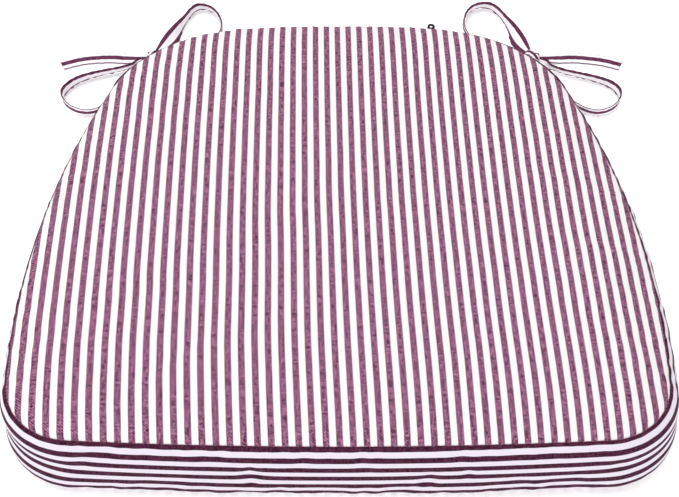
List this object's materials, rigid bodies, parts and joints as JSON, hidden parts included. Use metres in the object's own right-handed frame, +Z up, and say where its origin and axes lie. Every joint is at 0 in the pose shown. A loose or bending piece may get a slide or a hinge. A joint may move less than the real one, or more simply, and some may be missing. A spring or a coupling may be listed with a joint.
{
  "type": "chair seat pad",
  "caption": "Boxed foam chair cushion in striped woven ticking, rounded wider front, zipped back edge and tie straps in a bow at each back corner.",
  "frame": {"origin": "middle of the flat underside that rests on the chair seat", "axes": "+Z up through the thickness, +Y towards the chair back and the zip, +X to the sitter's right when seen from the front edge"},
  "size_m": [0.4692, 0.5042, 0.067],
  "materials": {
    "foam": "open-cell upholstery foam, matt",
    "wadding": "fluffy bonded polyester wadding",
    "ticking": "woven cotton ticking, white with burgundy stripes along the depth",
    "boxing_ticking": "the same ticking with its stripes along the strip",
    "tie_ticking": "ticking folded and stitched into a flat strap",
    "thread": "spun polyester sewing thread, burgundy",
    "zip_tape": "woven polyester tape",
    "zip_coil": "nylon monofilament coil",
    "zip_metal": "dark enamelled die-cast metal"
  },
  "bodies": {
    "cushion": {"foam_core": "foam", "wadding_top": "wadding", "wadding_bottom": "wadding", "top_panel": "ticking", "bottom_panel": "ticking", "boxing_strip": "boxing_ticking", "zip_gusset_upper": "boxing_ticking", "zip_gusset_lower": "boxing_ticking", "top_seam_thread": "thread", "bottom_seam_thread": "thread", "zip_tape_upper": "zip_tape", "zip_tape_lower": "zip_tape", "zip_coil_upper": "zip_coil", "zip_coil_lower": "zip_coil", "zip_topstitch_upper": "thread", "zip_topstitch_lower": "thread", "zip_end_tack_closed": "thread", "zip_end_tack_open": "thread", "left_back_tie": "tie_ticking", "left_side_tie": "tie_ticking", "right_back_tie": "tie_ticking", "right_side_tie": "tie_ticking", "left_bow_knot": "tie_ticking", "right_bow_knot": "tie_ticking", "left_tie_tack": "thread", "right_tie_tack": "thread"},
    "zip_slider": {"zip_slider": "zip_metal"},
    "zip_pull": {"zip_pull": "zip_metal"}
  },
  "joints": [
    {"name": "zip_travel", "type": "hinge", "parent": "cushion", "child": "zip_slider", "pos_m": [0, -0.294, 0.029], "axis": [0, 0, 1], "range_deg": [0, 16.39]},
    {"name": "pull_flip", "type": "hinge", "parent": "zip_slider", "child": "zip_pull", "pos_m": [0.07234, 0.20842, 0.029], "axis": [-0.9898, 0.1425, 0], "range_deg": [0, 164]}
  ]
}
